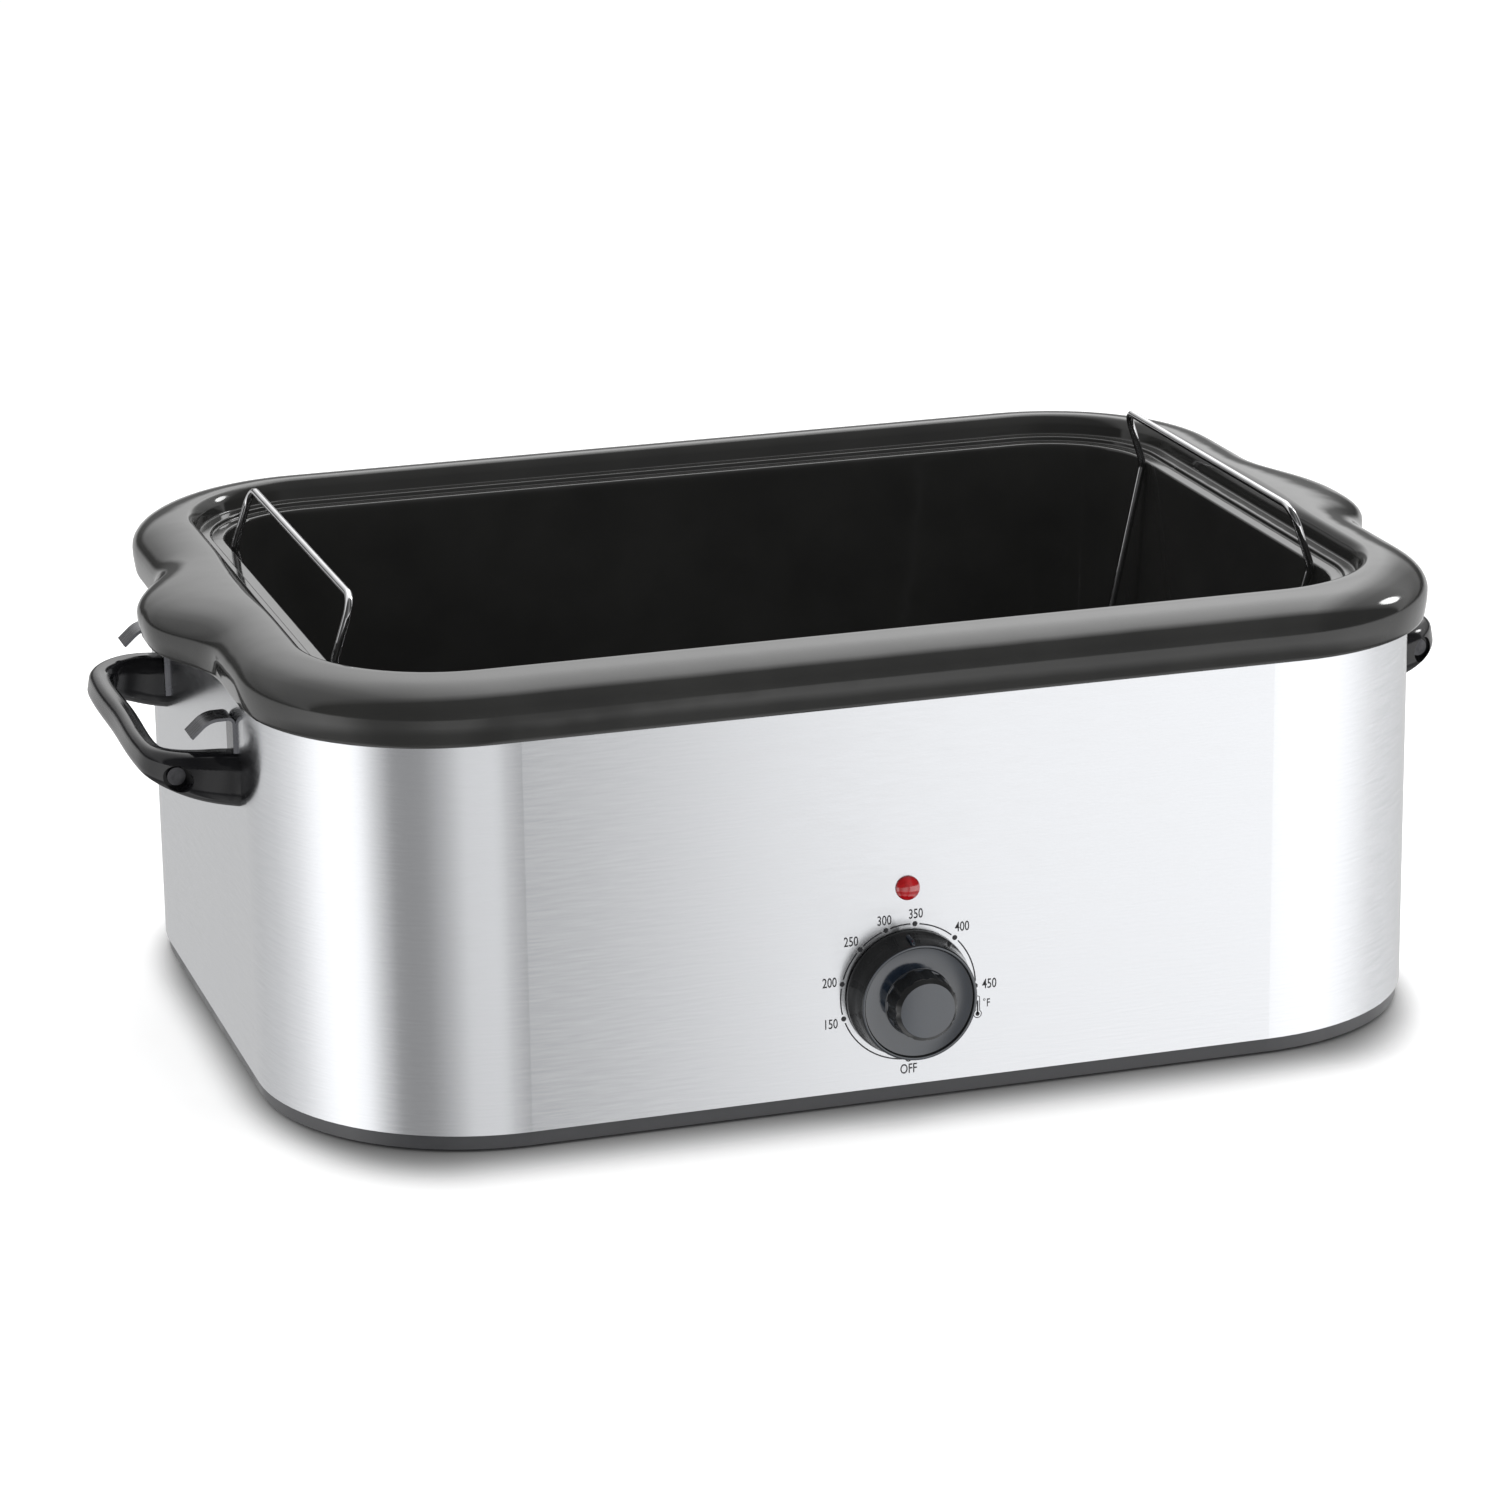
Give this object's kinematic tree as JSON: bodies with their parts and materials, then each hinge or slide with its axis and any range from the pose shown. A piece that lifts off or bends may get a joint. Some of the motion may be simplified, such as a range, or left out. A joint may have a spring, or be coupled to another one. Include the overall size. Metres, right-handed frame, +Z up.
{
  "type": "electric roaster oven",
  "caption": "Rounded steel roaster oven with a heated well, a lift-out enamelled pan with a stepped rim and ears, a wire rack with folding handles, loop side handles and a control knob.",
  "frame": {"origin": "on the ground plane, under the middle of the housing", "axes": "+X to the oven's right seen from the front and along its length, +Y to the back, +Z up; the control faces -Y"},
  "size_m": [0.6094, 0.4223, 0.2237],
  "materials": {
    "outer_wrap": "satin, brushed along its length",
    "base_plate": "charcoal, fine matt",
    "feet": "matt black",
    "spacer_posts": "plain",
    "base_screws": "plain",
    "heating_well": "dull, as drawn",
    "heating_band": "woven glass sleeve",
    "band_clips": "plain",
    "insulation_blanket": "glass wool",
    "heat_shield": "mill finish",
    "roasting_pan": "glossy black enamel with fine speckle",
    "rack_frame": "bright plated wire",
    "rack_handle": "bright plated wire",
    "thermostat_body": "moulded phenolic",
    "thermostat_bracket": "plain",
    "thermostat_screws": "plain",
    "sensor_strip": "plain",
    "control_shaft": "plain",
    "control_knob": "glossy black",
    "pilot_lens": "clear red",
    "lamp_bulb": "clear",
    "lens_clip": "plain",
    "side_handle": "black, slightly glossy",
    "lid_hooks": "spring steel",
    "handle_screws": "plated",
    "handle_bracket": "plain",
    "cord_bushing": "black",
    "terminal_block": "unglazed white",
    "lead_wires": "glass sleeving"
  },
  "bodies": {
    "housing": {"outer_wrap": "outer_wrap", "base_plate": "base_plate", "feet": "feet", "spacer_posts": "spacer_posts", "base_screws": "base_screws", "heating_well": "heating_well", "heating_band": "heating_band", "band_clips": "band_clips", "insulation_blanket": "insulation_blanket", "heat_shield": "heat_shield", "thermostat_body": "thermostat_body", "thermostat_bracket": "thermostat_bracket", "thermostat_screws": "thermostat_screws", "sensor_strip": "sensor_strip", "pilot_lens": "pilot_lens", "lamp_bulb": "lamp_bulb", "lens_clip": "lens_clip", "side_handle_left": "side_handle", "side_handle_right": "side_handle", "lid_hooks_left": "lid_hooks", "lid_hooks_right": "lid_hooks", "handle_screws": "handle_screws", "handle_bracket_left": "handle_bracket", "handle_bracket_right": "handle_bracket", "cord_bushing": "cord_bushing", "terminal_block": "terminal_block", "lead_wires": "lead_wires"},
    "pan": {"roasting_pan": "roasting_pan"},
    "rack": {"rack_frame": "rack_frame"},
    "left_rack_handle": {"rack_handle_left": "rack_handle"},
    "right_rack_handle": {"rack_handle_right": "rack_handle"},
    "control": {"control_knob": "control_knob", "control_shaft": "control_shaft"}
  },
  "joints": [
    {"name": "pan_lift", "type": "slide", "parent": "housing", "child": "pan", "axis": [0, 0, 1], "range_m": [0, 0.165]},
    {"name": "rack_lift", "type": "slide", "parent": "pan", "child": "rack", "axis": [0, 0, 1], "range_m": [0, 0.17]},
    {"name": "left_rack_handle_fold", "type": "hinge", "parent": "rack", "child": "left_rack_handle", "pos_m": [-0.187, 0, 0.062], "axis": [0, 1, 0], "range_deg": [0, 97]},
    {"name": "right_rack_handle_fold", "type": "hinge", "parent": "rack", "child": "right_rack_handle", "pos_m": [0.187, 0, 0.062], "axis": [0, -1, 0], "range_deg": [0, 97]},
    {"name": "control_turn", "type": "hinge", "parent": "housing", "child": "control", "pos_m": [0, -0.21, 0.0505], "axis": [0, 1, 0], "range_deg": [-175, 97]}
  ]
}
